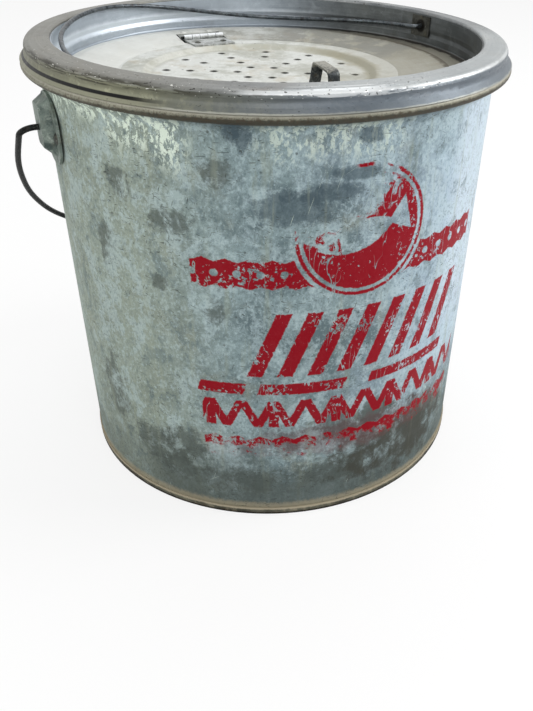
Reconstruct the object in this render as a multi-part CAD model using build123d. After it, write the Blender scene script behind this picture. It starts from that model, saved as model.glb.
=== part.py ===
from build123d import *
import os
from math import asin, atan, cos, degrees, hypot, radians, sin, tan

# Minnow bucket: a tapered sheet-metal pail with a wired rim, a swinging carrying bail, and a
# lift-out inner bucket (the liner) that floats on an air chamber and has a hinged, perforated lid.
# Millimetres, +Z up. The origin is on the pail's axis, in the plane that the pail stands on.
# Azimuths are in degrees about +Z from +X.

# Clearances
lap_fit = 0.05  # between sheets that are soldered or folded together
pivot_fit = 0.08  # radial, around wire and pin in their holes
seat_gap = 0.3  # between pieces that rest on each other and lift apart

# Pail wall
pail_sheet = 0.6
pail_foot_radius = 111.15
pail_neck_radius = 118.45
rim_height = 224.0  # centre of the rim wire above the floor
rim_reach = 6.15  # from the neck of the wall out to the centre of the rim wire
rim_drop = 7.6  # from the centre of the rim wire down to the neck
rim_wire_radius = 1.7
curl_end = 232.0  # direction in which the curl stops, seen from the wire's centre
neck_bend = 3.0
throat_bend = 1.5
throat_rise = 1.0
wall_seam_azimuth = 68.0
wall_seam_width = 8.0
wall_seam_proud = 1.0
wall_seam_ends = 3.0

# Pail base
base_rise = 5.4
base_panel_radius = 82.0
base_panel_step = 1.2
base_hem_height = 4.6
base_corner = 1.5
hem_corner = 0.15

# Bail ears
ear_azimuth = 30.5  # of the right ear, with the left one opposite
pivot_drop = 25.5  # from the centre of the rim wire down to the bail's pivot
ear_width = 30.2
ear_below = 19.0  # from the pivot down to the plate's lower end
ear_above = 16.6
ear_corner = 14.0
ear_sheet = 1.2
boss_proud = 6.4
boss_sheet = 1.0
boss_foot = (16.0, -15.3, 15.7)  # width, lower end and upper end on the plate
boss_face = (12.6, -9.2, 11.7)
boss_corner = 2.0
ear_rivet_offset = 11.4
ear_rivet_drop = 3.5
ear_rivet_radius = 1.6
ear_rivet_head = (3.0, 1.3)  # radius and height
ear_rivet_tail = (2.5, 0.9)

# Carrying bail and its grip
bail_radius = 1.5
bail_side_room = 9.1  # from the boss face out to the wire's leg
bail_depth = 171.0  # from the pivot to the middle of the wire at the grip
bail_elbow = 7.0
bail_shape_ratios = [(0.995, 0.24), (0.935, 0.48), (0.825, 0.69), (0.665, 0.86)]
bail_crown_bend = 12.0
bail_head_radius = 3.0
bail_head_length = 1.6
grip_radius = 12.8
grip_end_radius = 8.6
grip_length = 92.0
grip_room = 12.0  # straight wire and bend beyond each end of the grip
grip_end_round = 1.5
grip_groove_depth = 0.9
grip_groove_width = 2.4
grip_groove_from_end = 11.0

# Liner collar, whose foot flares out over the pail's rim
liner_sheet = 0.5
collar_inset = 0.3  # from the centre of the rim wire in to the shoulder
collar_rise = 11.2  # from the centre of the rim wire up to the shoulder
collar_waist_inset = 0.4
collar_waist_rise = 5.6
collar_foot_direction = 43.0  # of the foot's edge, seen from the wire's centre
collar_crown = 0.7  # rise of the collar's top from the shoulder to the inner roll
collar_waist_bend = 4.0
collar_shoulder_bend = 3.0
collar_roll_bend = 1.2
collar_lip = 3.9
collar_top_width = 12.7  # from the shoulder in to the rolled edge

# Air chamber, whose outer wall sits in the pail's mouth and laps inside the collar
seat_end = 1.1  # from the centre of the rim wire down to the top of the seat
chamber_step_rise = 2.3  # from the centre of the rim wire up to the foot of the step
chamber_step_height = 2.1
chamber_step_bend = 1.0
chamber_lap = 3.6  # inside the collar, above the step
chamber_gap = 3.9  # between the pail and the air chamber at the neck
chamber_taper = 2.7
chamber_depth = 67.7
chamber_skin_inset = 4.0  # from the foot of the well wall in to the chamber's inner skin
chamber_flange = 6.0

# Liner well and its ledge
well_flare = 1.0  # widening from the foot of the well wall to its top
ledge_drop = 6.3  # from the centre of the rim wire down to the ledge
well_height = 16.8
well_groove_rise = 6.5
well_groove_half = 2.2
well_groove_depth = 0.7
well_corner = 1.5
ledge_lap = 3.5  # of the deck's edge on the ledge

# Deck ring, with its centre and the lid's set off from the pail's axis
deck_offset = -5.5
deck_sheet = 0.5
deck_room = 2.0  # least gap between the deck's edge and the well wall
deck_rim_width = 4.3
deck_dish = 3.3
deck_dish_width = 22.2
deck_lid_room = 2.0  # from the lid's edge out to the foot of the dish
deck_lid_lap = 7.0  # of the lid's band on the deck
deck_bend = 3.0

# Lid
lid_sheet = 0.5
lid_band_width = 11.6
lid_step_width = 3.6
lid_step = 2.2
lid_bend = 2.0
lid_hole_radius = 1.6
lid_hole_pitch = 12.75
lid_hole_turn = 2.52
lid_hole_rings = {1: 6, 2: 6, 3: 12, 4: 12}

# Lid hinge
hinge_azimuth = 121.0
hinge_reach = 8.5  # from the lid's edge out to the pin
hinge_width = 25.4
hinge_knuckles = 5
knuckle_gap = 0.3
knuckle_radius = 1.7
pin_radius = 0.9
pin_overhang = 1.6
leaf_sheet = 0.8
leaf_clear = 0.4  # between a leaf's plate and the other leaf's knuckles
leaf_step_gap = 0.8  # between the lid's step and the end of its leaf
leaf_rim_gap = 0.8  # between the end of the deck's leaf and the deck's flat rim
window_foot_gap = 1.0  # from the foot of the dish out to the window
window_leaf_cover = 4.4  # from the window out to the end of the deck's leaf
window_side_room = 1.5
leaf_rivet_offset = 8.2
lid_rivet_from_leaf_end = 7.6
deck_rivet_from_leaf_end = 2.6
small_rivet_radius = 1.1
small_rivet_head = (2.0, 0.7)
small_rivet_tail = (1.8, 0.5)

# Finger strap
strap_azimuth = -54.0
strap_width = 6.3
strap_side = 0.4  # sideways from the radial line
strap_sheet = 1.0
strap_height = 16.9
strap_fall = 2.3  # drop of its top from the inner bend to the outer one
strap_edge_gap = 0.6  # between the lid's edge and the outer toe
strap_outer_foot = 4.4
strap_outer_lean = 1.0
strap_step_gap = 9.2  # from the lid's step in to the inner leg
strap_inner_foot = 6.1
strap_inner_lean = 4.4
strap_bends = (1.6, 1.6, 3.4, 0.9)
strap_rivet_insets = (2.8, 1.8)  # from the inner and the outer toe
strap_rivet_head = (1.7, 0.6)

# Basket
basket_foot_height = 22.0
basket_taper = 5.95  # narrowing from the lap to the foot
basket_foot_gap = 11.0  # least gap from the foot of the pail's wall in to the basket
basket_lap = 14.0
basket_base_rise = 3.5
basket_hole_radius = 2.6
basket_hole_rows = 5
basket_hole_columns = 16
basket_hole_margin = 18.0

# Liner bail and its patches
liner_bail_azimuth = 39.5
liner_bail_drop = 4.0  # the pivot's rise above the centre of the rim wire
liner_bail_radius = 1.2
liner_bail_wall_gap = 1.4  # between the wire and the well wall
liner_bail_inset = 3.6  # further in at its pivots, fading out along this angle
liner_bail_inset_angle = 24.0
liner_bail_waves = (2.8, -6.5, -0.4, 1.3)  # rise and fall of the wire along its half circle
liner_bail_steps = 12
liner_bail_elbow = 3.0
liner_bail_head_radius = 2.0
liner_bail_head_length = 1.0
patch_width = 15.0
patch_below = 6.0
patch_above = 5.8
patch_sheet = 0.7
patch_hole_radius = 2.5


def polar(azimuth, radius, height=0.0, centre_x=0.0):
    return Vector(
        centre_x + radius * cos(radians(azimuth)), radius * sin(radians(azimuth)), height
    )


def upright(azimuth, centre_x=0.0):
    # Plane through a vertical axis: x runs outwards at the azimuth, y is height
    out = polar(azimuth, 1)
    return Plane(origin=(centre_x, 0, 0), x_dir=out, z_dir=(out.Y, -out.X, 0))


def parallel(points, distance):
    # Corners of the path that runs beside this one, on its left for a positive distance
    runs = []
    for start, end in zip(points, points[1:]):
        along = (Vector(*end) - Vector(*start)).normalized()
        side = Vector(-along.Y, along.X) * distance
        runs.append((Vector(*start) + side, Vector(*end) + side, along))
    corners = [runs[0][0]]
    for (first, _, u), (second, _, v) in zip(runs, runs[1:]):
        gap = second - first
        reach = (gap.X * v.Y - gap.Y * v.X) / (u.X * v.Y - u.Y * v.X)
        corners.append(first + u * reach)
    corners.append(runs[-1][1])
    return corners


def turns(points):
    found = []
    for a, b, c in zip(points, points[1:], points[2:]):
        found.append((b[0] - a[0]) * (c[1] - b[1]) - (b[1] - a[1]) * (c[0] - b[0]))
    return found


def sheet(points, bends, left=0.0, right=0.0):
    # Section of a bent sheet: the path is one surface, the thickness lies left or right of it
    sides = []
    for distance in (left, -right):
        radii = [
            bend - distance if turn > 0 else bend + distance
            for bend, turn in zip(bends, turns(points))
        ]
        corners = parallel(points, distance)
        sides.append(FilletPolyline(*corners, radius=radii) if bends else Polyline(*corners))
    ends = [Line(sides[0] @ 0, sides[1] @ 0), Line(sides[0] @ 1, sides[1] @ 1)]
    return make_face([*sides[0].edges(), *sides[1].edges(), *[end.edge() for end in ends]])


def turned(section, centre_x=0.0, arc=360.0, azimuth=0.0):
    # Solid of a section in radius and height, turned about an upright axis
    solid = revolve(Plane.XZ * section, Axis.Z, arc)
    return Pos(centre_x, 0, 0) * Rot(0, 0, azimuth) * solid


def bent_wire(points, radii, wire_radius):
    path = FilletPolyline(*points, radius=radii)
    start = Plane(origin=path @ 0, z_dir=path % 0)
    return sweep(start * Circle(wire_radius), path=path)


def rod(start, end, radius):
    # Straight round bar between two points
    axis = end - start
    middle = Plane(origin=(start + end) * 0.5, z_dir=axis)
    return middle.location * Cylinder(radius, axis.length)


def easy_radius(a, b, c, share=0.45):
    # Largest bend at b that leaves a tenth of the shorter run straight
    turn = radians((b - a).get_angle(c - b))
    return share * min((b - a).length, (c - b).length) / tan(turn / 2)


def rivet(radius, head, grip, tail=None):
    # Upright rivet whose head sits on z = 0, with its tail under the sheets
    head_radius, head_height = head
    ball = (head_radius**2 + head_height**2) / (2 * head_height)
    half = asin(head_radius / ball) / 2
    shoulder = (ball * sin(half), head_height - ball * (1 - cos(half)))
    dome = make_face(
        [
            Line((0, 0), (head_radius, 0)),
            ThreePointArc((head_radius, 0), shoulder, (0, head_height)),
            Line((0, head_height), (0, 0)),
        ]
    )
    solid = turned(dome) + Pos(0, 0, -grip / 2) * Cylinder(radius, grip)
    if tail:
        solid += Pos(0, 0, -grip - tail[1] / 2) * Cylinder(tail[0], tail[1])
    return solid


# Heights and lines that several pieces share
neck_height = rim_height - rim_drop
wall_slope = (pail_neck_radius - pail_foot_radius) / neck_height
rim_radius = pail_neck_radius + rim_reach
wire_room = rim_wire_radius + lap_fit
curl_radius = wire_room + pail_sheet
pivot_height = rim_height - pivot_drop
ear_azimuths = {"left": ear_azimuth + 180, "right": ear_azimuth}
throat = (rim_radius - curl_radius, rim_height - throat_rise)
flare = (throat[0] - (pail_neck_radius - pail_sheet)) / (throat[1] - neck_height)


def wall_radius(height):
    return pail_foot_radius + wall_slope * height


def seat_radius(height):
    # Outside of the liner where it sits in the pail's flared mouth
    mouth = pail_neck_radius - pail_sheet + (height - neck_height) * flare
    return mouth - seat_gap * hypot(1, flare)


# Radii, each from the piece that holds the next: rim, collar, well, deck and lid
collar_radius = rim_radius - collar_inset
collar_waist_radius = rim_radius - collar_waist_inset
lip_radius = collar_radius - collar_top_width
well_radius_high = lip_radius - liner_sheet - 2 * lap_fit
well_radius_low = well_radius_high - well_flare
chamber_inner_radius = well_radius_low - chamber_skin_inset
deck_radius = well_radius_low - abs(deck_offset) - deck_room
deck_rim_radius = deck_radius - deck_rim_width
ledge_hole_radius = deck_radius - ledge_lap
deck_dish_radius = deck_rim_radius - deck_dish_width
lid_radius = deck_dish_radius - deck_lid_room
deck_hole_radius = lid_radius - deck_lid_lap
lid_step_outer = lid_radius - lid_band_width
lid_step_inner = lid_step_outer - lid_step_width
hinge_radius = lid_radius + hinge_reach
leaf_inner_radius = lid_step_outer + leaf_step_gap
leaf_outer_radius = deck_rim_radius - leaf_rim_gap
window_inner_radius = deck_dish_radius + window_foot_gap
window_outer_radius = leaf_outer_radius - window_leaf_cover
basket_neck_radius = chamber_inner_radius - liner_sheet - lap_fit
basket_foot_radius = min(basket_neck_radius - basket_taper, pail_foot_radius - basket_foot_gap)

ledge_height = rim_height - ledge_drop
deck_top = ledge_height + deck_sheet
deck_flat = deck_top - deck_dish
lid_band = deck_flat + lid_sheet
lid_floor = lid_band - lid_step
chamber_bottom = ledge_height - chamber_depth


# Pail wall
wall_bottom = pail_sheet + lap_fit
wall_path = [
    (wall_radius(wall_bottom), wall_bottom),
    (pail_neck_radius, neck_height),
    (throat[0] + pail_sheet, throat[1]),
    (throat[0] + pail_sheet, rim_height),
]
wall_section = sheet(wall_path, (neck_bend, throat_bend), left=pail_sheet)
curl_ring = Circle(curl_radius) - Circle(wire_room)
curl_mouth = [(0, 0)]
for step in range(4):
    direction = 183.0 + step * (curl_end - 183.0) / 3
    curl_mouth.append(tuple(polar(direction, 2 * curl_radius))[:2])
curl = curl_ring - make_face(Polyline(*curl_mouth, close=True).edges())
pail_wall = turned(wall_section + Pos(rim_radius, rim_height) * curl)

seam_low = base_hem_height + wall_seam_ends
seam_high = neck_height - wall_seam_ends
seam_path = [(wall_radius(z) - pail_sheet / 2, z) for z in (seam_low, seam_high)]
seam_section = sheet(seam_path, (), right=wall_seam_proud + pail_sheet / 2)
seam_arc = degrees(wall_seam_width / pail_foot_radius)
pail_wall += turned(seam_section, arc=seam_arc, azimuth=wall_seam_azimuth - seam_arc / 2)

# Pail base: the hem folds round the lower edge of the wall
hem_inside = [wall_radius(z) - pail_sheet - lap_fit for z in (base_rise, pail_sheet)]
hem_outside = [wall_radius(z) + lap_fit for z in (pail_sheet, base_hem_height)]
base_path = [
    (0, base_rise - base_panel_step),
    (base_panel_radius, base_rise - base_panel_step),
    (base_panel_radius + 2 * base_panel_step, base_rise),
    (hem_inside[0], base_rise),
    (hem_inside[1], pail_sheet),
    (hem_outside[0], pail_sheet),
    (hem_outside[1], base_hem_height),
]
base_bends = (base_corner, base_corner, base_corner, hem_corner, hem_corner)
pail_base = turned(sheet(base_path, base_bends, right=pail_sheet))

pail_rim_wire = Pos(0, 0, rim_height) * Torus(rim_radius, rim_wire_radius)


# Bail ears: a flat plate with a hollow boss, riveted to the wall
def ear_plane(azimuth):
    # On the wall at the pivot: x runs along the wall, y up it, z out of it
    lean = atan(wall_slope)
    out = polar(azimuth, cos(lean), -sin(lean))
    along = polar(azimuth + 90, 1)
    foot = polar(azimuth, wall_radius(pivot_height), pivot_height)
    return Plane(origin=foot, x_dir=along, z_dir=out)


def boss(inset):
    # Raised part of the ear, smaller by the inset on every side
    faces = []
    for (width, low, high), level in ((boss_foot, 0.0), (boss_face, boss_proud - inset)):
        size = (width - 2 * inset, high - low - 2 * inset)
        outline = RectangleRounded(*size, boss_corner - inset / 2)
        faces.append(Pos(0, (low + high) / 2, level) * outline)
    return loft(faces, ruled=True)


def ear(azimuth):
    outline = RectangleRounded(ear_width, ear_below + ear_above, ear_corner)
    centre = (ear_above - ear_below) / 2
    plate = Pos(0, centre, lap_fit) * extrude(outline, ear_sheet)
    solid = plate + Pos(0, 0, lap_fit) * boss(0.0) - Pos(0, 0, lap_fit) * boss(boss_sheet)
    for side in (-1, 1):
        solid -= Pos(side * ear_rivet_offset, -ear_rivet_drop, 0) * Cylinder(
            ear_rivet_radius + lap_fit, 4 * ear_sheet
        )
    solid = ear_plane(azimuth).location * solid
    inner, outer = wall_radius(pivot_height), wall_radius(pivot_height) + 2 * boss_proud
    bore = rod(
        polar(azimuth, inner, pivot_height),
        polar(azimuth, outer, pivot_height),
        bail_radius + pivot_fit,
    )
    return solid - bore


ears = {side: ear(azimuth) for side, azimuth in ear_azimuths.items()}

# The wall curves away under a flat ear, so the rivets bridge that gap too
wall_fall = ear_rivet_offset**2 / (2 * wall_radius(pivot_height))
tail_reach = ear_rivet_tail[0] * ear_rivet_offset / wall_radius(pivot_height)
ear_grip = lap_fit + ear_sheet + wall_fall + pail_sheet + tail_reach + lap_fit
ear_rivets = []
for azimuth in ear_azimuths.values():
    for side in (-1, 1):
        spot = ear_plane(azimuth).location * Pos(side * ear_rivet_offset, -ear_rivet_drop, 0)
        pail_wall -= spot * Cylinder(ear_rivet_radius + lap_fit, 4 * pail_sheet + 2 * wall_fall)
        seat = Pos(0, 0, lap_fit + ear_sheet)
        ear_rivets.append(
            spot * seat * rivet(ear_rivet_radius, ear_rivet_head, ear_grip, ear_rivet_tail)
        )

# Carrying bail, hanging at the back with its grip against the wall
bail_axis = polar(ear_azimuths["right"], 1)
bail_back = polar(ear_azimuths["right"] + 90, 1)
bail_reach = wall_radius(pivot_height) + boss_proud + bail_side_room
grip_stand = wall_radius(pivot_height) + (grip_radius + seat_gap) * hypot(1, wall_slope)
bail_hang = asin(grip_stand / (bail_depth * hypot(1, wall_slope))) - atan(wall_slope)
bail_down = bail_back * sin(bail_hang) + Vector(0, 0, -cos(bail_hang))
bail_pivot = Vector(0, 0, pivot_height)


def on_bail(along, down):
    return bail_pivot + bail_axis * along + bail_down * down


crown_half = grip_length / 2 + grip_room
bail_end = wall_radius(pivot_height) + boss_proud - boss_sheet - seat_gap - bail_head_length
bail_half = [(bail_end, 0), (bail_reach, 0)]
bail_half += [(x * bail_reach, y * bail_depth) for x, y in bail_shape_ratios]
bail_half.append((crown_half - grip_room / 2, bail_depth))
bail_points = [on_bail(x, y) for x, y in bail_half] + [on_bail(-x, y) for x, y in bail_half[::-1]]
bail_bends = [bail_elbow]
for a, b, c in zip(bail_points[1:], bail_points[2:], bail_points[3 : len(bail_half)]):
    bail_bends.append(easy_radius(a, b, c))
bail_bends.append(bail_crown_bend)
carry_bail_wire = bent_wire(bail_points, bail_bends + bail_bends[::-1], bail_radius)
for side in (-1, 1):
    tip = on_bail(side * bail_end, 0)
    carry_bail_wire += rod(tip, tip + bail_axis * side * bail_head_length, bail_head_radius)

# Grip: barrel with a groove near each end, bored for the wire
grip_half = grip_length / 2
grip_bore = bail_radius + pivot_fit
grip_outline = [
    Line((grip_bore, -grip_half), (grip_end_radius, -grip_half)),
    ThreePointArc((grip_end_radius, -grip_half), (grip_radius, 0), (grip_end_radius, grip_half)),
    Line((grip_end_radius, grip_half), (grip_bore, grip_half)),
    Line((grip_bore, grip_half), (grip_bore, -grip_half)),
]
grip = turned(make_face(grip_outline))
grip_rims = [
    grip.edges().filter_by(GeomType.CIRCLE).group_by(Axis.Z)[end].sort_by(SortBy.RADIUS)[-1]
    for end in (0, -1)
]
grip = fillet(grip_rims, grip_end_round)
grip_bulge = grip_radius - grip_end_radius
groove_place = grip_half - grip_groove_from_end
groove_radius = grip_radius - grip_bulge * (groove_place / grip_half) ** 2
for side in (-1, 1):
    ring = Torus(groove_radius + grip_groove_width / 2 - grip_groove_depth, grip_groove_width / 2)
    grip -= Pos(0, 0, side * groove_place) * ring
carry_bail_grip = Plane(origin=on_bail(0, bail_depth), z_dir=bail_axis).location * grip


# Liner collar: flared foot, waist, shoulder and rolled inner edge
collar_height = rim_height + collar_rise
collar_foot = polar(collar_foot_direction, curl_radius + seat_gap + liner_sheet)
collar_path = [
    (rim_radius + collar_foot.X, rim_height + collar_foot.Y),
    (collar_waist_radius, rim_height + collar_waist_rise),
    (collar_radius, collar_height),
    (lip_radius, collar_height + collar_crown),
    (lip_radius, collar_height + collar_crown - collar_lip),
]
collar_bends = (collar_waist_bend, collar_shoulder_bend, collar_roll_bend)
liner_collar = turned(sheet(collar_path, collar_bends, left=liner_sheet))

# Outer wall of the air chamber: seat in the pail's mouth, then a step out to the collar
chamber_radius_high = pail_neck_radius - pail_sheet - chamber_gap
chamber_radius_low = chamber_radius_high - chamber_taper
seat_foot = neck_height + (chamber_radius_high - seat_radius(neck_height)) / flare
chamber_slope = chamber_taper / (seat_foot - chamber_bottom)
seat_top = rim_height - seat_end
step_low = rim_height + chamber_step_rise
step_high = step_low + chamber_step_height
lap_radius = min(collar_waist_radius, collar_radius) - liner_sheet - lap_fit
chamber_path = [
    (chamber_radius_low, chamber_bottom),
    (chamber_radius_high, seat_foot),
    (seat_radius(seat_top), seat_top),
    (seat_radius(seat_top), step_low),
    (lap_radius, step_high),
    (lap_radius, step_high + chamber_lap),
]
chamber_bends = (neck_bend, throat_bend, chamber_step_bend, chamber_step_bend)
liner_chamber_wall = turned(sheet(chamber_path, chamber_bends, left=liner_sheet))


# Liner well: wall with a shallow groove, and the ledge that carries the deck
def well_radius(height):
    share = (height - ledge_height) / well_height
    return well_radius_low + share * (well_radius_high - well_radius_low)


groove_height = ledge_height + well_groove_rise
groove_low, groove_high = groove_height - well_groove_half, groove_height + well_groove_half
well_foot = ledge_height + lap_fit
well_path = [
    (well_radius_high, ledge_height + well_height),
    (well_radius(groove_high), groove_high),
    (well_radius(groove_height) + well_groove_depth, groove_height),
    (well_radius(groove_low), groove_low),
    (well_radius(well_foot), well_foot),
]
liner_well = turned(sheet(well_path, (well_corner, well_corner, well_corner), left=liner_sheet))
ledge_reach = ledge_hole_radius + deck_offset - 2 * liner_sheet
ledge_path = [(well_radius_low + liner_sheet, ledge_height), (ledge_reach, ledge_height)]
liner_ledge = turned(sheet(ledge_path, (), left=liner_sheet))
liner_ledge -= Pos(deck_offset, 0, ledge_height) * Cylinder(ledge_hole_radius, 4 * liner_sheet)

# Air chamber's inner skin and the channel that closes it below
skin_top = ledge_height - liner_sheet - lap_fit
skin_low = chamber_bottom + liner_sheet
skin_path = [(chamber_inner_radius, skin_low), (chamber_inner_radius, skin_top)]
liner_float_skin = turned(sheet(skin_path, (), left=liner_sheet))


def chamber_radius(height):
    return chamber_radius_low + chamber_slope * (height - chamber_bottom)


channel_high = skin_low + chamber_flange
channel_outer = [chamber_radius(z) - 2 * liner_sheet - lap_fit for z in (channel_high, skin_low)]
channel_inner = chamber_inner_radius + liner_sheet + lap_fit
channel_path = [
    (channel_outer[0], channel_high),
    (channel_outer[1], skin_low),
    (channel_inner, skin_low),
    (channel_inner, channel_high),
]
liner_float_bottom = turned(sheet(channel_path, (liner_sheet, liner_sheet), left=liner_sheet))

# Deck ring: dished, with the lid's hole and a window for the hinge
deck_path = [
    (deck_radius, deck_top),
    (deck_rim_radius, deck_top),
    (deck_dish_radius, deck_flat),
    (deck_hole_radius, deck_flat),
]
liner_deck = turned(sheet(deck_path, (deck_bend, deck_bend), left=deck_sheet), deck_offset)
window = extrude(
    upright(hinge_azimuth, deck_offset)
    * Pos((window_inner_radius + window_outer_radius) / 2, deck_top)
    * Rectangle(window_outer_radius - window_inner_radius, 4 * deck_dish),
    hinge_width / 2 + window_side_room,
    both=True,
)
liner_deck -= window

# Lid: perforated floor, step and flat band
lid_path = [
    (0, lid_floor),
    (lid_step_inner, lid_floor),
    (lid_step_outer, lid_band),
    (lid_radius, lid_band),
]
lid_plate = turned(sheet(lid_path, (lid_bend, lid_bend), right=lid_sheet), deck_offset)
lid_hole = Cylinder(lid_hole_radius, 4 * lid_sheet)
lid_holes = []
for ring, count in lid_hole_rings.items():
    for index in range(count):
        azimuth = lid_hole_turn + index * 360 / count
        place = polar(azimuth, ring * lid_hole_pitch, lid_floor, deck_offset)
        lid_holes.append(Pos(place) * lid_hole)
lid_plate -= lid_holes

# Hinge: two leaves with alternate knuckles on one pin
hinge_plane = upright(hinge_azimuth, deck_offset)
pin_height = lid_band + knuckle_radius
knuckle_length = hinge_width / hinge_knuckles
barrel = Pos(hinge_radius, pin_height) * Circle(knuckle_radius)
barrel_bore = Pos(hinge_radius, pin_height) * Circle(pin_radius + pivot_fit)
leaf_edge = knuckle_radius + leaf_clear


def hinge_slab(section, low, high):
    return extrude(hinge_plane.offset(low) * section, high - low)


def knuckles(indices, tab):
    solids = []
    for index in indices:
        low = -hinge_width / 2 + index * knuckle_length + knuckle_gap / 2
        high = low + knuckle_length - knuckle_gap
        solids.append(hinge_slab(barrel + tab - barrel_bore, low, high))
    return solids


def leaf_part(inner, outer):
    # Section of a flat piece of leaf that lies level with the underside of the knuckles
    middle = Pos((inner + outer) / 2, lid_band + leaf_sheet / 2)
    return middle * Rectangle(outer - inner, leaf_sheet)


lid_leaf_plate = leaf_part(leaf_inner_radius, hinge_radius - leaf_edge)
lid_leaf_tab = leaf_part(hinge_radius - leaf_edge, hinge_radius)
lid_hinge_leaf = hinge_slab(lid_leaf_plate, -hinge_width / 2, hinge_width / 2)
lid_hinge_leaf += knuckles(range(1, hinge_knuckles, 2), lid_leaf_tab)

deck_slope = deck_dish / (deck_rim_radius - deck_dish_radius)


def deck_under(radius):
    return deck_flat - deck_sheet + (radius - deck_dish_radius) * deck_slope


leaf_level = lid_band + leaf_sheet
leaf_knee = deck_dish_radius + (leaf_level + lap_fit - deck_flat + deck_sheet) / deck_slope
deck_leaf_path = [
    (hinge_radius + leaf_edge, leaf_level),
    (leaf_knee, leaf_level),
    (leaf_outer_radius, deck_under(leaf_outer_radius) - lap_fit),
]
deck_leaf_tab = leaf_part(hinge_radius, hinge_radius + leaf_edge)
deck_leaf_section = sheet(deck_leaf_path, (deck_bend,), right=leaf_sheet)
deck_hinge_leaf = hinge_slab(deck_leaf_section, -hinge_width / 2, hinge_width / 2)
deck_hinge_leaf += knuckles(range(0, hinge_knuckles, 2), deck_leaf_tab)

pin_section = Pos(hinge_radius, pin_height) * Circle(pin_radius)
hinge_pin = hinge_slab(pin_section, -hinge_width / 2 - pin_overhang, hinge_width / 2)

# Rivets of the hinge leaves: flush under the lid's band, headed under the deck's leaf
small_hole = Cylinder(small_rivet_radius + lap_fit, 8 * leaf_sheet)
lid_rivet_place = leaf_inner_radius + lid_rivet_from_leaf_end
deck_rivet_place = leaf_outer_radius - deck_rivet_from_leaf_end
deck_rivet_radius = hypot(deck_rivet_place, leaf_rivet_offset)
deck_rivet_lift = (deck_rivet_radius - deck_rivet_place) * deck_slope + lap_fit
deck_rivet_level = deck_flat + (deck_rivet_place - deck_dish_radius) * deck_slope + deck_rivet_lift
lid_leaf_rivets, deck_leaf_rivets = [], []
for side in (-1, 1):
    across = hinge_plane.z_dir * (side * leaf_rivet_offset)
    spot = Pos(polar(hinge_azimuth, lid_rivet_place, leaf_level, deck_offset) + across)
    lid_grip = leaf_sheet + lid_sheet
    lid_leaf_rivets.append(spot * rivet(small_rivet_radius, small_rivet_head, lid_grip))
    lid_hinge_leaf -= spot * small_hole
    lid_plate -= spot * small_hole
    foot = polar(hinge_azimuth, deck_rivet_place, deck_rivet_level, deck_offset) + across
    lean = (polar(hinge_azimuth, -deck_slope, 1)).normalized()
    spot = Plane(origin=foot, z_dir=lean).location
    grip_under = deck_sheet + leaf_sheet + lap_fit + deck_rivet_lift
    deck_leaf_rivets.append(
        spot * rivet(small_rivet_radius, small_rivet_head, grip_under, small_rivet_tail)
    )
    deck_hinge_leaf -= spot * small_hole
    liner_deck -= spot * small_hole

# Finger strap: bent strip over the lid's step, one foot on the floor and one on the band
strap_foot_outer = lid_radius - strap_edge_gap
strap_leg_outer = strap_foot_outer - strap_outer_foot
strap_leg_inner = lid_step_inner - strap_step_gap
strap_foot_inner = strap_leg_inner - strap_inner_foot
strap_top = lid_floor + strap_height
strap_path = [
    (strap_foot_inner, lid_floor + strap_sheet),
    (strap_leg_inner, lid_floor + strap_sheet),
    (strap_leg_inner + strap_inner_lean, strap_top),
    (strap_leg_outer - strap_outer_lean, strap_top - strap_fall),
    (strap_leg_outer, lid_band + strap_sheet),
    (strap_foot_outer, lid_band + strap_sheet),
]
strap_plane = upright(strap_azimuth, deck_offset)
strap_middle = strap_plane.offset(-strap_side)
lid_strap = extrude(
    strap_middle * sheet(strap_path, strap_bends, right=strap_sheet), strap_width / 2, both=True
)
lid_strap_rivets = []
strap_rivet_places = (
    (strap_foot_inner + strap_rivet_insets[0], lid_floor),
    (strap_foot_outer - strap_rivet_insets[1], lid_band),
)
for radius, level in strap_rivet_places:
    across = strap_plane.z_dir * -strap_side
    spot = Pos(polar(strap_azimuth, radius, level + strap_sheet, deck_offset) + across)
    strap_grip = strap_sheet + lid_sheet
    lid_strap_rivets.append(spot * rivet(small_rivet_radius, strap_rivet_head, strap_grip))
    lid_strap -= spot * small_hole
    lid_plate -= spot * small_hole

# Basket: tapered, perforated, lapped inside the chamber's inner skin
basket_path = [
    (basket_foot_radius, basket_foot_height),
    (basket_neck_radius, chamber_bottom),
    (basket_neck_radius, chamber_bottom + basket_lap),
]
basket_slope = (basket_neck_radius - basket_foot_radius) / (chamber_bottom - basket_foot_height)
liner_basket = turned(sheet(basket_path, (deck_bend,), left=liner_sheet))
hole_low = basket_foot_height + basket_hole_margin
hole_rise = (chamber_bottom - basket_hole_margin - hole_low) / (basket_hole_rows - 1)
basket_holes = []
for row in range(basket_hole_rows):
    for column in range(basket_hole_columns):
        azimuth = (column + row % 2 / 2) * 360 / basket_hole_columns
        height = hole_low + row * hole_rise
        inner = polar(azimuth, basket_foot_radius - 4 * liner_sheet, height)
        outer = polar(azimuth, basket_neck_radius + 2 * liner_sheet, height)
        basket_holes.append(rod(inner, outer, basket_hole_radius))
liner_basket -= basket_holes


def basket_inside(height):
    return basket_foot_radius - liner_sheet + basket_slope * (height - basket_foot_height) - lap_fit


basket_floor = basket_foot_height + basket_base_rise
basket_base_path = [
    (0, basket_floor),
    (basket_inside(basket_floor), basket_floor),
    (basket_inside(basket_foot_height), basket_foot_height),
]
liner_basket_base = turned(sheet(basket_base_path, (base_corner,), right=liner_sheet))

# Liner bail: a wire that springs along the well wall, pivoted in two soldered patches
liner_pivot_height = rim_height + liner_bail_drop


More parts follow.
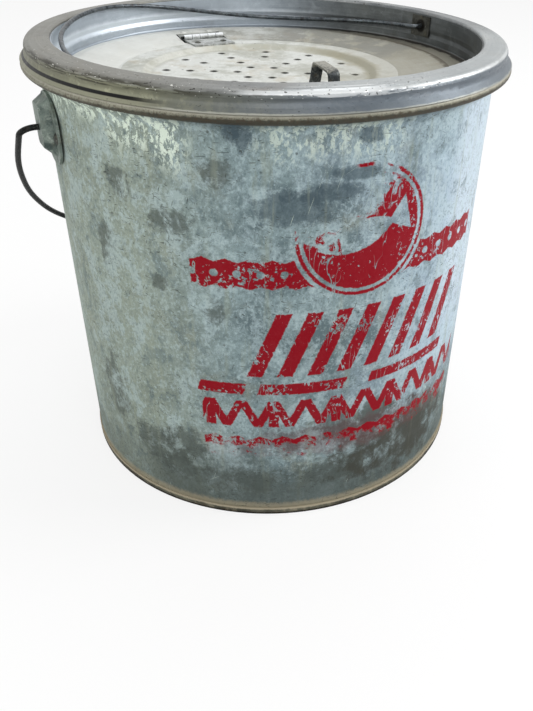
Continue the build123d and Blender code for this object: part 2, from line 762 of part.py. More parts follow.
def liner_bail_point(turn):
    # Point of the wire at an angle from its first pivot
    rise = sum(size * sin(radians(turn) * (n + 1)) for n, size in enumerate(liner_bail_waves))
    near = max(0.0, 1 - min(turn, 180 - turn) / liner_bail_inset_angle)
    radius = well_radius(liner_pivot_height) - liner_bail_wall_gap - liner_bail_radius
    radius -= near * liner_bail_inset
    return polar(liner_bail_azimuth + turn, radius, liner_pivot_height + rise)


patches, liner_bail_ends = {}, []
patch_arc = degrees(patch_width / well_radius_low)
for side, azimuth in (("right", liner_bail_azimuth), ("left", liner_bail_azimuth + 180)):
    low, high = liner_pivot_height - patch_below, liner_pivot_height + patch_above
    path = [(well_radius(z) - lap_fit, z) for z in (low, high)]
    patch = turned(sheet(path, (), left=patch_sheet), 0, patch_arc, azimuth - patch_arc / 2)
    inner = polar(azimuth, well_radius_low - 4 * patch_sheet, liner_pivot_height)
    outer = polar(azimuth, well_radius_high + 4 * patch_sheet, liner_pivot_height)
    patches[side] = patch - rod(inner, outer, liner_bail_radius + pivot_fit)
    liner_well -= rod(inner, outer, patch_hole_radius)

bail_tip = well_radius(liner_pivot_height) + liner_sheet + seat_gap + liner_bail_head_length
steps = [180 * index / liner_bail_steps for index in range(liner_bail_steps + 1)]
wire_points = [polar(liner_bail_azimuth, bail_tip, liner_pivot_height)]
wire_points += [liner_bail_point(turn) for turn in steps]
wire_points.append(polar(liner_bail_azimuth + 180, bail_tip, liner_pivot_height))
wire_bends = [
    easy_radius(a, b, c) for a, b, c in zip(wire_points, wire_points[1:], wire_points[2:])
]
wire_bends[0] = wire_bends[-1] = liner_bail_elbow
liner_bail_wire = bent_wire(wire_points, wire_bends, liner_bail_radius)
for azimuth in (liner_bail_azimuth, liner_bail_azimuth + 180):
    liner_bail_wire += rod(
        polar(azimuth, bail_tip - liner_bail_head_length, liner_pivot_height),
        polar(azimuth, bail_tip, liner_pivot_height),
        liner_bail_head_radius,
    )

nodes = {
    "pail_wall": pail_wall,
    "pail_base": pail_base,
    "pail_rim_wire": pail_rim_wire,
    "pail_ear_left": ears["left"],
    "pail_ear_right": ears["right"],
    "pail_ear_rivets": ear_rivets,
    "carry_bail_wire": carry_bail_wire,
    "carry_bail_grip": carry_bail_grip,
    "liner_collar": liner_collar,
    "liner_chamber_wall": liner_chamber_wall,
    "liner_well": liner_well,
    "liner_ledge": liner_ledge,
    "liner_float_skin": liner_float_skin,
    "liner_float_bottom": liner_float_bottom,
    "liner_deck": liner_deck,
    "liner_basket": liner_basket,
    "liner_basket_base": liner_basket_base,
    "liner_bail_patch_left": patches["left"],
    "liner_bail_patch_right": patches["right"],
    "liner_bail_wire": liner_bail_wire,
    "lid_plate": lid_plate,
    "lid_hinge_leaf": lid_hinge_leaf,
    "lid_leaf_rivets": lid_leaf_rivets,
    "lid_strap": lid_strap,
    "lid_strap_rivets": lid_strap_rivets,
    "deck_hinge_leaf": deck_hinge_leaf,
    "deck_leaf_rivets": deck_leaf_rivets,
    "hinge_pin": hinge_pin,
}

os.makedirs("parts", exist_ok=True)
for name, shape in nodes.items():
    solid = Compound(children=shape) if isinstance(shape, list) else shape
    export_step(solid, f"parts/{name}.step")
print("bail hangs at", round(degrees(bail_hang), 2), "crown", tuple(on_bail(0, bail_depth)))
print("pin height", round(pin_height, 3), "pivot height", pivot_height, liner_pivot_height)
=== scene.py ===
from math import cos, pi, radians, sin

import bmesh
import bpy
from mathutils import Matrix, Vector, noise


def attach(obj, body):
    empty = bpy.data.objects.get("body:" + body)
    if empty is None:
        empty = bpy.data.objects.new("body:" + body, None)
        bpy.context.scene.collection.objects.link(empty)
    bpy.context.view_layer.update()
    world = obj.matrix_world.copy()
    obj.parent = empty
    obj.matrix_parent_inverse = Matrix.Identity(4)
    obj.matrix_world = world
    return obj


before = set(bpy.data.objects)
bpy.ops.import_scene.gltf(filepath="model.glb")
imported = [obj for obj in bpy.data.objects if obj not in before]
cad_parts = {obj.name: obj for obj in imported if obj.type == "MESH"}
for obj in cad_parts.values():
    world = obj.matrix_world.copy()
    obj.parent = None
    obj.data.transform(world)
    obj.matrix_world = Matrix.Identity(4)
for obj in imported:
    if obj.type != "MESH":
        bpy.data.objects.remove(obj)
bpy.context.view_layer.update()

print("frame loaded:", len(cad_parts), "nodes")
mm = 0.001
degreeLength = 2.0  # millimetres round the pail wall for each degree, near enough for marks

# Camera, solved from the photograph

cameraLook = {
    "place": (0.0398, -0.4489, 0.3194),
    "down": 28.97,  # degrees below level
    "roll": 1.98,
    "lens": 41.515,
    "shift": (-0.0990, -0.0711),
}


def makeCamera(look):
    down, roll = radians(look["down"]), radians(look["roll"])
    side, up = Vector((1, 0, 0)), Vector((0, sin(down), cos(down)))
    right = cos(roll) * side + sin(roll) * up
    top = cos(roll) * up - sin(roll) * side
    back = right.cross(top)
    data = bpy.data.cameras.new("mainCamera")
    data.lens = look["lens"]
    data.shift_x, data.shift_y = look["shift"]
    data.clip_start, data.clip_end = 0.01, 50
    camera = bpy.data.objects.new("mainCamera", data)
    turn = Matrix((right, top, back)).transposed().to_4x4()
    camera.matrix_world = Matrix.Translation(look["place"]) @ turn
    bpy.context.scene.collection.objects.link(camera)
    bpy.context.scene.camera = camera


makeCamera(cameraLook)
bpy.context.scene.view_settings.view_transform = "Standard"
print("camera placed")

# Helpers for node materials


def tint(red, green, blue):
    # display colour, 0 to 255, as the linear colour that a socket takes
    parts = [value / 255 for value in (red, green, blue)]
    parts = [p / 12.92 if p <= 0.04045 else ((p + 0.055) / 1.055) ** 2.4 for p in parts]
    return (*parts, 1.0)


class Value:
    # wraps a socket, so that shader maths can be written as sums
    def __init__(self, finish, socket):
        self.finish = finish
        self.socket = socket

    def __add__(self, other):
        return self.finish.maths("ADD", self, other)

    def __radd__(self, other):
        return self.finish.maths("ADD", other, self)

    def __sub__(self, other):
        return self.finish.maths("SUBTRACT", self, other)

    def __rsub__(self, other):
        return self.finish.maths("SUBTRACT", other, self)

    def __mul__(self, other):
        return self.finish.maths("MULTIPLY", self, other)

    def __rmul__(self, other):
        return self.finish.maths("MULTIPLY", other, self)

    def __truediv__(self, other):
        return self.finish.maths("DIVIDE", self, other)

    def __mod__(self, other):
        return self.finish.maths("FLOORED_MODULO", self, other)

    def __abs__(self):
        return self.finish.maths("ABSOLUTE", self)


class Finish:
    # one node material; places are read in millimetres, so noise sizes are real sizes
    def __init__(self, name):
        self.material = bpy.data.materials.new(name)
        self.material.use_nodes = True
        self.tree = self.material.node_tree
        self.shader = self.tree.nodes["Principled BSDF"]
        coordinates = self.node("ShaderNodeTexCoord", out="Object")
        scale = {"Vector": coordinates, "Scale": 1000.0}
        self.place = self.node("ShaderNodeVectorMath", {"operation": "SCALE"}, scale)
        self.x, self.y, self.height = [
            self.node("ShaderNodeSeparateXYZ", {}, {0: self.place}, out=axis) for axis in "XYZ"
        ]

    def node(self, kind, settings=None, sockets=None, out=0):
        made = self.tree.nodes.new(kind)
        for key, value in (settings or {}).items():
            setattr(made, key, value)
        for key, value in (sockets or {}).items():
            if isinstance(value, Value):
                self.tree.links.new(value.socket, made.inputs[key])
            else:
                made.inputs[key].default_value = value
        return Value(self, made.outputs[out])

    def maths(self, operation, *terms, clamp=False):
        settings = {"operation": operation, "use_clamp": clamp}
        return self.node("ShaderNodeMath", settings, dict(enumerate(terms)))

    def least(self, first, *others):
        for other in others:
            first = self.maths("MINIMUM", first, other)
        return first

    def most(self, first, *others):
        for other in others:
            first = self.maths("MAXIMUM", first, other)
        return first

    def distance(self, across, along):
        return self.maths("SQRT", across * across + along * along)

    def radius(self, centreX=0.0):
        return self.distance(self.x - centreX, self.y)

    def azimuth(self, centreX=0.0):
        # degrees about an upright axis
        across = self.x - centreX if centreX else self.x
        return self.maths("ARCTAN2", self.y, across) * (180 / pi)

    def away(self, azimuth, period=360.0, centreX=0.0):
        # degrees from an azimuth, or from the nearest of those that repeat with a period
        turned = self.azimuth(centreX) - (azimuth - period / 2)
        return abs(turned % period - period / 2)

    def near(self, azimuth, wide, soft):
        # 1 within so many degrees of an azimuth, fading out over the soft ones
        return self.fade(self.away(azimuth), wide + soft, wide)

    def fade(self, value, low, high):
        # 0 at low, 1 at high, eased; low may be the larger one
        sockets = {"Value": value, "From Min": low, "From Max": high}
        return self.node("ShaderNodeMapRange", {"interpolation_type": "SMOOTHSTEP"}, sockets)

    def crisp(self, inside, soft):
        # edge of a printed shape from its depth inside the outline, in millimetres
        return self.maths("MULTIPLY_ADD", inside, 1 / soft, 0.5, clamp=True)

    def blend(self, low, high, share):
        settings = {"data_type": "RGBA", "blend_type": "MIX"}
        return self.node("ShaderNodeMix", settings, {0: share, 6: low, 7: high}, out=2)

    def stretched(self, size, shift):
        # the place divided by a size in millimetres, the same all ways or one for each axis
        sizes = size if isinstance(size, tuple) else (size, size, size)
        factors = {0: self.place, 1: tuple(1 / value for value in sizes)}
        scaled = self.node("ShaderNodeVectorMath", {"operation": "MULTIPLY"}, factors)
        moved = {0: scaled, 1: (shift, 2 * shift, -shift)}
        return self.node("ShaderNodeVectorMath", {"operation": "ADD"}, moved)

    def cloud(self, size, detail, rough, shift, warp=0.0):
        sockets = {"Vector": self.stretched(size, shift), "Scale": 1.0, "Detail": detail}
        sockets.update({"Roughness": rough, "Distortion": warp})
        return self.node("ShaderNodeTexNoise", {}, sockets, out="Fac")

    def sway(self, reach, *values):
        # a cloud about zero, which moves an edge to and fro; its ends are this reach apart
        return (self.cloud(*values) - 0.5) * reach

    def streaks(self, places, detail, warp=0.0):
        # noise at three places that are worked out one by one
        joined = self.node("ShaderNodeCombineXYZ", {}, dict(enumerate(places)))
        sockets = {"Vector": joined, "Scale": 1.0, "Detail": detail, "Distortion": warp}
        return self.node("ShaderNodeTexNoise", {}, sockets, out="Fac")

    def hoops(self, size, length, centreX=0.0):
        # fine marks that run round the upright axis
        around = (self.radius(centreX) + self.height) / size
        return self.streaks((self.x / length, self.y / length, around), 5.0)

    def cells(self, size, shift):
        sockets = {"Vector": self.stretched(size, shift), "Scale": 1.0}
        return self.node("ShaderNodeTexVoronoi", {}, sockets, out="Distance")

    def hairlines(self, size, width, shift):
        # thin wandering lines where a noise crosses its middle
        level = self.cloud(size, 2.0, 0.5, shift, 0.4)
        return 1 - self.fade(abs(level - 0.5), width * 0.4, width)

    def dashes(self, size, shift, least):
        # short marks, long in the directions in which the size is large
        return self.fade(self.cloud(size, 1.0, 0.4, shift), least, least + 0.02)

    def scratches(self, angle, length, width, shift, least):
        # straight marks on the wall at an angle from level, in degrees
        tilt, across, along = radians(angle), self.azimuth() * degreeLength, self.height
        lengthwise = (across * cos(tilt) + along * sin(tilt)) / length
        sideways = (along * cos(tilt) - across * sin(tilt)) / width
        return self.fade(self.streaks((lengthwise, sideways, shift), 0.0), least, least + 0.05)

    def patch(self, azimuth, height, halfWide, halfHigh, ragged, shift=0.0):
        # ragged blot on a wall, its half sizes in millimetres
        across = (self.azimuth() - azimuth) * (degreeLength / halfWide)
        along = (self.height - height) / halfHigh
        uneven = self.sway(3 * ragged, 8.0, 6.0, 0.72, shift)
        return 1 - self.fade(self.distance(across, along) + uneven, 0.6, 1.05)

    def finish(self, colour, roughness, metallic, relief=None, depth=0.1, specular=0.5):
        values = {"Base Color": colour, "Roughness": roughness, "Metallic": metallic}
        values["Specular IOR Level"] = specular
        if relief is not None:
            sockets = {"Height": relief, "Distance": depth * mm, "Strength": 1.0}
            values["Normal"] = self.node("ShaderNodeBump", {}, sockets, out="Normal")
        for name, value in values.items():
            if isinstance(value, Value):
                self.tree.links.new(value.socket, self.shader.inputs[name])
            else:
                self.shader.inputs[name].default_value = value
        return self.material


def dress(material, *names):
    # gives CAD nodes a material of this file in place of their plain one
    for name in names:
        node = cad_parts[name]
        if not node.material_slots:
            node.data.materials.append(material)
        for place in node.material_slots:
            place.material = material


# Sheet metal and wire

metalLook = {
    "broad": 30.0,  # sizes of the mottling, in millimetres
    "small": 7.0,
    "grain": 0.9,
    "paleShare": 0.7,
    "darkShare": 0.6,
    "stainShare": 0.3,
    "grainShare": 0.3,
    "hoops": 0.0,
    "hoopShare": 0.4,
    "centreX": 0.0,
    "pitPitch": 6.0,
    "pitSize": 0.16,
    "pitShare": 0.8,
    "rough": 0.46,
    "metallic": 0.5,
    "specular": 0.3,
    "depth": 0.12,
}


def agedMetal(name, look, layers=None):
    # mottled old metal: two sizes of cloud, hoop marks, fine grain, pits and hairline scratches
    look = {**metalLook, **look}
    f = Finish(name)
    broad = f.cloud(look["broad"], 5.0, 0.6, 1.3)
    small = f.cloud(look["small"], 5.0, 0.68, 4.1, 0.6)
    grain = f.cloud(look["grain"], 3.0, 0.6, 7.7)
    colour = f.blend(look["dark"], look["base"], f.fade(broad, 0.36, 0.56))
    colour = f.blend(colour, look["pale"], f.fade(small, 0.50, 0.72) * look["paleShare"])
    colour = f.blend(colour, look["dark"], f.fade(small, 0.48, 0.30) * look["darkShare"])
    stains = f.fade(f.cloud(look["broad"] * 0.7, 5.0, 0.6, 11.0), 0.52, 0.70)
    colour = f.blend(colour, look["stain"], stains * look["stainShare"])
    relief = small * 0.5 + grain * 0.35
    if look["hoops"]:
        hoop = f.hoops(look["hoops"], 45.0, look["centreX"])
        colour = f.blend(colour, look["dark"], f.fade(hoop, 0.50, 0.32) * look["hoopShare"])
        colour = f.blend(colour, look["pale"], f.fade(hoop, 0.52, 0.70) * look["hoopShare"] * 0.6)
        relief = relief + hoop * 0.5
    pits = f.fade(f.cells(look["pitPitch"], 3.0), look["pitSize"], look["pitSize"] * 0.4)
    pits = pits * f.fade(f.cloud(18.0, 2.0, 0.5, 21.0), 0.50, 0.62)
    colour = f.blend(colour, look["pit"], pits * look["pitShare"])
    scratch = f.hairlines((14.0, 14.0, 6.0), 0.008, 9.0)
    scratch = scratch * f.fade(f.cloud(22.0, 2.0, 0.5, 15.0), 0.52, 0.62)
    colour = f.blend(colour, look["pale"], scratch * 0.5)
    colour = f.blend(colour, look["dark"], f.fade(grain, 0.52, 0.30) * look["grainShare"])
    rough = look["rough"] + (small - 0.5) * 0.3 + pits * 0.2
    metallic = look["metallic"]
    if layers:
        colour, rough, metallic, relief = layers(f, colour, rough, metallic, relief)
    return f.finish(colour, rough, metallic, relief - pits * 0.8, look["depth"], look["specular"])


# Pail wall: galvanized sheet with a worn one-colour print

wallLook = {
    "base": tint(132, 150, 153),
    "dark": tint(92, 108, 112),
    "pale": tint(178, 196, 200),
    "stain": tint(136, 138, 122),
    "pit": tint(60, 64, 60),
    "broad": 30.0,
    "small": 8.0,
    "rough": 0.55,
    "metallic": 0.3,
    "stainShare": 0.5,
    "paleShare": 0.75,
    "darkShare": 0.75,
    "specular": 0.06,
    # painted light: the left and right tints stand for light on the wall's sides, the pale stripe
    # for a reflection
    "left": tint(148, 156, 139),
    "right": tint(184, 203, 221),
    "frost": tint(216, 228, 214),
    "grime": tint(78, 85, 81),
    "smear": tint(66, 80, 88),
    "mark": tint(62, 66, 62),
    # painted light on the bead: a highlight on its crest, a lit top, and shade on its underside,
    # which is also rusty
    "beadRidgeHighlight": tint(172, 169, 156),
    "beadLitTop": tint(132, 130, 116),
    "beadShadeAndRust": tint(64, 60, 50),
    "rust": tint(70, 58, 46),
    "reflectedStripe": tint(200, 212, 222),
    "shade": tint(58, 68, 70),
    "soot": tint(60, 56, 48),
    "warmSoot": tint(72, 58, 58),
    "lowEdge": tint(156, 147, 124),
}

# azimuth, height, half width and half height of each blot on the wall
wallSmears = [
    (-80.0, 182.0, 22.0, 11.0), (-72.0, 188.0, 20.0, 6.0), (-91.5, 214.0, 5.0, 8.0),
    (-63.5, 214.0, 6.0, 5.0), (-66.0, 197.0, 14.0, 4.0), (-93.0, 217.0, 5.0, 9.0),
]
wallGrime = [
    (-118.0, 36.0, 22.0, 13.0), (-95.0, 24.0, 30.0, 9.0), (-134.0, 60.0, 12.0, 22.0),
    (-99.0, 128.0, 5.0, 8.0), (-66.0, 28.0, 36.0, 11.0), (-128.0, 150.0, 7.0, 14.0),
    (-112.0, 139.0, 6.0, 5.0), (-36.0, 42.0, 18.0, 14.0), (-97.0, 198.0, 10.0, 8.0),
    (-108.0, 172.0, 12.0, 7.0), (-121.0, 186.0, 8.0, 10.0), (-46.0, 30.0, 34.0, 17.0),
    (-64.0, 58.0, 34.0, 9.0), (-110.0, 42.0, 16.0, 14.0), (-40.0, 36.0, 40.0, 20.0),
    (-58.0, 62.0, 16.0, 10.0), (-112.0, 26.0, 18.0, 9.0),
]

printLook = {
    "colour": tint(134, 0, 20),
    "faded": tint(140, 26, 44),
    "trace": tint(96, 68, 68),  # left where the lowest rows have worn off
    "middle": -62.0,  # azimuth of the design's middle
    "perDegree": 2.02,  # millimetres round the wall for each degree
    "soft": 0.45,
    "slope": 0.03373,  # of the wall's outer face
    "faceRadii": (110.75, 110.95),  # at height 0, between these the ink sets in
}


def printDepth(f, s, h):
    # depth inside the printed shapes: s runs round the wall from the middle, h is height
    def bar(low, high, left, right, slant=0.0):
        shifted = s - (h - low) * slant if slant else s
        return f.least(h - low, high - h, shifted - left, right - shifted)

    def every(pitch, shift=0.0, slant=0.0):
        # distance from the nearest of a row of upright or slanted lines
        along = s - h * slant if slant else s
        return abs((along - shift) % pitch - pitch / 2)

    # roundel: a ring and a disc, with a plain fish left bare in it
    discS, discH, discRadius = s + 3.5, h - 168.0, 33.2
    far = f.distance(discS, discH)
    ring = f.least(discRadius - far, far - (discRadius - 1.8))
    disc = (discRadius - 3.6) - far
    fs = discS * 0.96 + discH * 0.28
    fh = abs(discH * 0.96 - discS * 0.28 + 1.0)
    halfLong, halfHigh = 20.0, 7.5
    curve = (halfLong**2 + halfHigh**2) / (2 * halfHigh)
    body = curve - f.distance(fs + 4.0, fh + (curve - halfHigh))
    tail = f.least((fs - 12.0) * 0.8 - fh, 24.0 - fs)
    gill = abs(f.distance(fs + 30.0, fh) - 16.5) - 0.7
    eye = f.distance(fs + 17.0, fh - 1.0) - 1.5
    bare = f.most(f.least(body, gill, eye), tail)
    disc = f.least(disc, -1 * bare)

    # scalloped bands on both sides of the roundel, with a row of bare dots
    scallop = every(10.8, 2.0)
    edge = f.least(h - 143.0, 155.0 - h) + (5.4 - scallop) * 0.35
    dots = f.distance(every(10.8, 7.4), h - 149.2) - 1.9
    bands = f.least(edge, dots, far - (discRadius + 2.0), f.least(s + 85.0, 81.0 - s))

    # slanted bars over underlines
    slanted = f.least(3.9 - every(15.2, 4.0, 0.42), bar(92.0, 128.0, -60.0, 56.0, 0.42))
    lines = [
        bar(81.0, 87.5, -86.0, -62.0, 0.3), bar(81.0, 87.5, -55.0, -10.0, 0.3),
        bar(81.0, 87.0, 4.0, 60.0, 0.3),
    ]

    # zigzag crossed by upright bars, and a worn scalloped band below it
    zigzag = 2.5 - abs(every(16.5, 3.0) - (h - 61.0) * 0.5)
    posts = 2.7 - every(33.0, 3.0)
    row = f.least(f.most(zigzag, posts), bar(60.5, 77.0, -84.0, 84.0))
    lowEdge = f.least(h - 42.0, 52.0 - h) + (6.0 - every(12.0)) * 0.4
    low = f.least(lowEdge, f.least(s + 84.0, 80.0 - s))
    return f.most(ring, disc, bands, slanted, *lines, row, low)


def wallPrint(f, azimuth, height):
    # share of ink, worn thin and flaked
    s = (azimuth - printLook["middle"]) * printLook["perDegree"]
    ragged = f.sway(1.6, 1.6, 3.0, 0.6, 91.0)
    red = f.crisp(printDepth(f, s, height) + ragged, printLook["soft"])
    area = f.cloud(22.0, 3.0, 0.5, 111.0) - 0.5
    chips = f.fade(f.cloud(2.4, 5.0, 0.68, 101.0, 0.3) + area * 0.55, 0.615, 0.64)
    scrapes = f.hairlines((5.0, 5.0, 22.0), 0.014, 121.0)
    scrapes = scrapes * f.fade(f.cloud(16.0, 2.0, 0.5, 131.0), 0.5, 0.58)
    ragEdge = f.sway(40.0, 6.0, 5.0, 0.7, 141.0, 0.8)
    worn = f.fade(f.distance(s + 24.0, height - 199.0) + ragEdge, 37.0, 33.0)
    kept = f.patch(-64.5, 200.5, 5.0, 3.0, 0.3)
    low = f.fade(height + f.sway(62.0, 7.0, 5.0, 0.7, 145.0) + s * 0.02, 52.0, 46.0)
    ribbon = f.fade(abs(height - 178.0) + ragEdge * 0.4, 14.0, 18.0) * f.fade(height, 176.0, 180.0)
    gone = f.most(worn * (1 - kept), low * 0.95, ribbon * f.fade(s, 38.0, 44.0))
    return red * (1 - chips) * (1 - scrapes) * (1 - gone)


def wallLayers(f, colour, rough, metallic, relief):
    look = wallLook
    azimuth, height = f.azimuth(), f.height
    fine = f.cloud((2.6, 2.6, 3.4), 6.0, 0.74, 31.0, 0.2)
    wide = f.cloud(55.0, 3.0, 0.5, 41.0)
    bloom = f.cloud((13.0, 13.0, 17.0), 8.0, 0.72, 17.0, 0.25)

    # painted light: greener and warmer to the left, cooler and paler to the right, and a pale
    # upright stripe at the right that is a painted reflection
    uneven = (wide - 0.5) * 60 + (bloom - 0.5) * 40
    leftLightShare = f.near(-150.0, 28.0, 34.0)
    colour = f.blend(colour, look["left"], leftLightShare * 0.7)
    rightLightShare = f.fade(azimuth + uneven, -76.0, -30.0) * f.fade(height, 40.0, 90.0)
    rightLightShare = rightLightShare * f.fade(azimuth, 60.0, 0.0)
    colour = f.blend(colour, look["right"], rightLightShare * 0.65)
    reflectionBand = f.near(-24.0, 7.0, 9.0) * f.fade(height + uneven, 70.0, 120.0)
    colour = f.blend(colour, look["reflectedStripe"], reflectionBand * 0.6)

    # ragged lighter and darker clouds
    colour = f.blend(colour, look["pale"], f.fade(bloom, 0.515, 0.565) * 0.38)
    colour = f.blend(colour, look["dark"], f.fade(bloom, 0.455, 0.39) * 0.5)
    colour = f.blend(colour, look["pale"], f.fade(fine, 0.55, 0.72) * 0.5)
    colour = f.blend(colour, look["dark"], f.fade(fine, 0.46, 0.30) * 0.55)
    tiny = f.cloud((1.5, 1.5, 1.9), 4.0, 0.7, 211.0)
    colour = f.blend(colour, look["dark"], f.fade(tiny, 0.48, 0.36) * 0.4)
    colour = f.blend(colour, look["pale"], f.fade(tiny, 0.53, 0.64) * 0.35)

    # frosty flakes under the bead, and its shade from the front on to the right
    flakes = f.fade(f.cloud((3.0, 3.0, 6.0), 8.0, 0.76, 61.0, 0.3), 0.50, 0.535)
    top = f.near(-113.0, 7.0, 6.0) * f.fade(height + (wide - 0.5) * 40, 195.0, 210.0)
    top = f.most(top, f.near(-128.0, 14.0, 8.0) * f.fade(height + (wide - 0.5) * 30, 204.0, 214.0))
    right = f.near(-72.0, 12.0, 8.0) * f.fade(height + (fine - 0.5) * 30, 200.0, 212.0)
    top = f.most(top, right * 0.6)
    colour = f.blend(colour, look["frost"], flakes * top * 0.9)
    shade = f.fade(height + (fine - 0.5) * 8, 216.5, 220.5) * f.fade(azimuth, -120.0, -100.0)
    colour = f.blend(colour, look["shade"], shade * 0.5)

    # dark smears, blots, run marks, darkening towards the base, and soot low at the right
    for spot in wallSmears:
        colour = f.blend(colour, look["smear"], f.patch(*spot, 0.75) * 0.7)
    for spot in wallGrime:
        blot = f.patch(*spot, 0.8, 5.0) * f.fade(bloom, 0.64, 0.50)
        colour = f.blend(colour, look["grime"], blot * 0.7)
    streaks = f.cloud((5.0, 5.0, 60.0), 4.0, 0.6, 71.0)
    colour = f.blend(colour, look["left"], f.fade(streaks, 0.54, 0.70) * 0.35)
    low = f.fade(height + f.sway(110.0, 22.0, 7.0, 0.7, 81.0), 52.0, 14.0)
    low = low * (1 - f.near(-144.0, 16.0, 12.0) * 0.45)
    colour = f.blend(colour, look["grime"], low * 0.8)
    soot = f.patch(-48.0, 32.0, 46.0, 22.0, 0.9, 5.0) * (f.fade(bloom, 0.60, 0.46) * 0.4 + 0.6)
    colour = f.blend(colour, look["soot"], soot * 0.6)
    soot = f.patch(-66.0, 52.0, 50.0, 8.0, 0.9, 5.0) * f.fade(bloom, 0.62, 0.48)
    colour = f.blend(colour, look["warmSoot"], soot * 0.45)
    warm = f.fade(height + (fine - 0.5) * 6, 9.5, 6.0)
    colour = f.blend(colour, look["lowEdge"], warm * 0.7)

    # small dark nicks and pale scratches
    sparse = f.fade(f.cloud(30.0, 2.0, 0.5, 171.0), 0.40, 0.52)
    nicks = f.most(
        f.scratches(4.0, 3.4, 0.6, 1.3, 0.755), f.scratches(-28.0, 3.2, 0.5, 3.7, 0.76),
        f.scratches(76.0, 4.2, 0.6, 5.1, 0.76), f.dashes(1.1, 201.0, 0.755),
    )
    colour = f.blend(colour, look["mark"], nicks * sparse * 0.75)
    lines = f.most(
        f.scratches(-48.0, 14.0, 0.32, 7.3, 0.81), f.scratches(31.0, 22.0, 0.32, 9.1, 0.80),
        f.scratches(72.0, 18.0, 0.32, 11.7, 0.81),
    )
    busy = f.most(f.patch(-70.0, 186.0, 34.0, 22.0, 0.5, 8.0), f.fade(bloom, 0.56, 0.62))
    colour = f.blend(colour, look["frost"], lines * busy * 0.55)

    # print, on the outer face alone
    outside = f.fade(f.radius() - height * printLook["slope"], *printLook["faceRadii"])
    red = wallPrint(f, azimuth, height) * outside
    ink = f.blend(printLook["colour"], printLook["faded"], f.fade(fine, 0.55, 0.8) * 0.4)
    traces = f.patch(-64.0, 50.0, 60.0, 12.0, 0.9, 4.0)
    colour = f.blend(colour, printLook["trace"], traces * 0.35)
    colour = f.blend(colour, ink, red * 0.98)

    # rolled bead: painted shade on its underside, which is also rusty; a painted lit top, worn,
    # with rust specks; a painted highlight on its crest
    bead = f.fade(f.radius(), 120.6, 121.2)
    lift = f.near(-165.0, 35.0, 30.0) * 0.8
    lit = f.fade(height + (fine - 0.5) * 2.4 + lift, 223.7, 224.9)
    beadTone = f.blend(look["beadShadeAndRust"], look["beadLitTop"], lit)
    specks = f.cloud(1.3, 4.0, 0.65, 161.0)
    beadTone = f.blend(beadTone, look["rust"], f.fade(specks, 0.52, 0.60) * 0.6)
    beadTone = f.blend(beadTone, look["mark"], f.fade(specks, 0.44, 0.36) * 0.5)
    ridgeHighlight = f.fade(height + (fine - 0.5) * 1.2, 224.7, 225.5)
    beadTone = f.blend(beadTone, look["beadRidgeHighlight"], ridgeHighlight * 0.8)
    colour = f.blend(colour, beadTone, bead * 0.95)

    metallic = (1 - red) * look["metallic"]
    rough = rough + low * 0.1 - red * 0.05
    relief = relief + red * 0.25 + (wide - 0.5) * 4.0
    return colour, rough, metallic, relief


dress(agedMetal("galvanizedWall", wallLook, wallLayers), "pail_wall")
print("pail wall finished")

# Pail base: the hem below the wall, warm on its upper edge and dark underneath

baseLook = {
    **wallLook, "base": tint(98, 98, 86), "dark": tint(66, 66, 58), "pale": tint(150, 142, 122),
    "stain": tint(96, 72, 50), "stainShare": 0.5, "broad": 16.0, "small": 5.0, "rough": 0.6,
    "edge": tint(178, 168, 146), "under": tint(26, 20, 16),
}


def baseLayers(f, colour, rough, metallic, relief):
    look = baseLook
    fine = f.cloud(2.4, 5.0, 0.65, 31.0)
    edge = f.fade(f.height + (fine - 0.5) * 2.0, 2.8, 4.0)
    colour = f.blend(colour, look["edge"], edge * 0.85)
    under = f.fade(f.height + (fine - 0.5) * 1.2, 2.2, 0.9)
    colour = f.blend(colour, look["under"], under * 0.9)
    return colour, rough, metallic, relief


dress(agedMetal("galvanizedBase", baseLook, baseLayers), "pail_base")

# Ears and their rivets

earLook = {
    **wallLook, "base": tint(118, 129, 122), "dark": tint(64, 75, 73), "pale": tint(172, 181, 171),
    "stain": tint(100, 96, 80), "broad": 12.0, "small": 4.0, "rough": 0.48, "metallic": 0.45,
}
dress(agedMetal("earSteel", earLook), "pail_ear_left", "pail_ear_right")
rivetLook = {
    **earLook, "base": tint(70, 72, 68), "dark": tint(36, 38, 36), "pale": tint(130, 132, 124),
    "broad": 3.0, "small": 1.4, "grain": 0.4,
}
dress(agedMetal("rivetSteel", rivetLook), "pail_ear_rivets", "lid_leaf_rivets", "lid_strap_rivets")

# Wires

bailLook = {
    **rivetLook, "base": tint(34, 37, 36), "dark": tint(16, 18, 18), "pale": tint(96, 98, 92),
    "stain": tint(60, 46, 36), "paleShare": 0.4, "rough": 0.42, "metallic": 0.5, "depth": 0.06,
}
dress(agedMetal("bailWire", bailLook), "carry_bail_wire")
linerWireLook = {
    **bailLook, "base": tint(84, 90, 94), "dark": tint(56, 60, 64), "pale": tint(150, 154, 156),
    "paleShare": 0.35, "small": 14.0, "darkShare": 0.3, "grain": 3.0, "grainShare": 0.15,
    "rough": 0.28, "metallic": 0.7, "depth": 0.02,
}
dress(agedMetal("linerWire", linerWireLook), "liner_bail_wire", "pail_rim_wire")
print("ears and wires finished")

# Collar: grey, olive at the left, pitted, with painted shade on its upright side and a painted
# highlight along its shoulder

